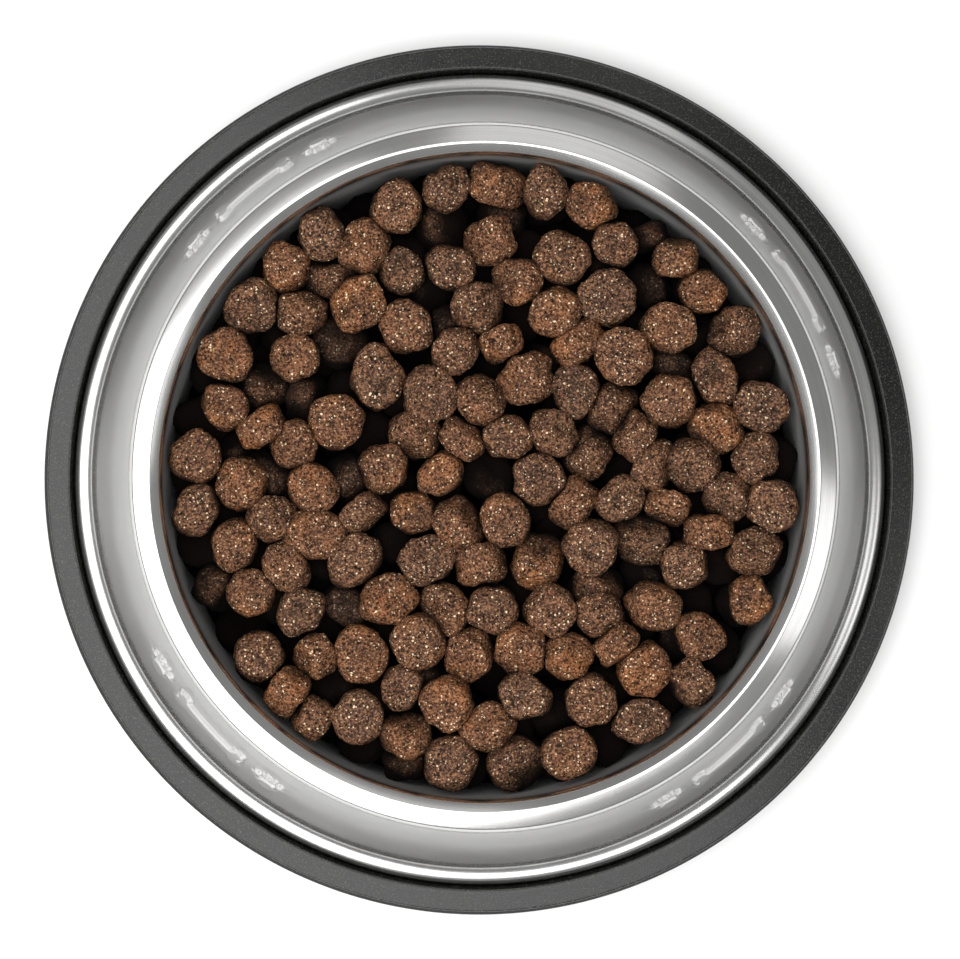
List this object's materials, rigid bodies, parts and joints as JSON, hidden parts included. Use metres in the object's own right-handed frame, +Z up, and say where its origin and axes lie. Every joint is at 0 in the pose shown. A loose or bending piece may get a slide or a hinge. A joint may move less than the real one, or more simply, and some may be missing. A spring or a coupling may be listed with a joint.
{
  "type": "filled pet food bowl",
  "caption": "Round steel pet food bowl with a wide sloping skirt and a rubber foot ring, filled with dry food pieces up to just under its rim.",
  "frame": {"origin": "on the bowl's axis, on the plane that the rubber foot ring stands on", "axes": "+Z up along the bowl's axis; +X to the right and +Y to the top of the picture"},
  "size_m": [0.2498, 0.2498, 0.0698],
  "materials": {
    "steel": "pressed stainless steel, satin with fine turning lines, no lettering",
    "rubber": "matte dark grey moulded rubber with a fine grain",
    "food": "rough baked brown, grainy with small pale specks"
  },
  "bodies": {
    "root": {"bowl_shell": "steel", "kibble_01": "food", "kibble_02": "food", "kibble_03": "food", "kibble_04": "food", "kibble_05": "food", "kibble_06": "food", "kibble_07": "food", "kibble_08": "food", "kibble_09": "food", "kibble_10": "food", "kibble_11": "food", "kibble_12": "food", "kibble_13": "food", "kibble_14": "food", "kibble_15": "food", "kibble_16": "food", "kibble_17": "food", "kibble_18": "food", "kibble_19": "food", "kibble_20": "food", "kibble_21": "food", "kibble_22": "food", "kibble_23": "food", "kibble_24": "food", "kibble_25": "food", "kibble_26": "food", "kibble_27": "food", "kibble_28": "food", "kibble_29": "food", "kibble_30": "food", "kibble_31": "food", "kibble_32": "food", "kibble_33": "food", "kibble_34": "food", "kibble_35": "food", "kibble_36": "food", "kibble_37": "food", "kibble_38": "food", "kibble_39": "food", "kibble_40": "food", "kibble_41": "food", "kibble_42": "food", "kibble_43": "food", "kibble_44": "food", "kibble_45": "food", "kibble_46": "food", "kibble_47": "food", "kibble_48": "food", "kibble_heap": "food", "rubber_ring": "rubber"}
  },
  "joints": []
}
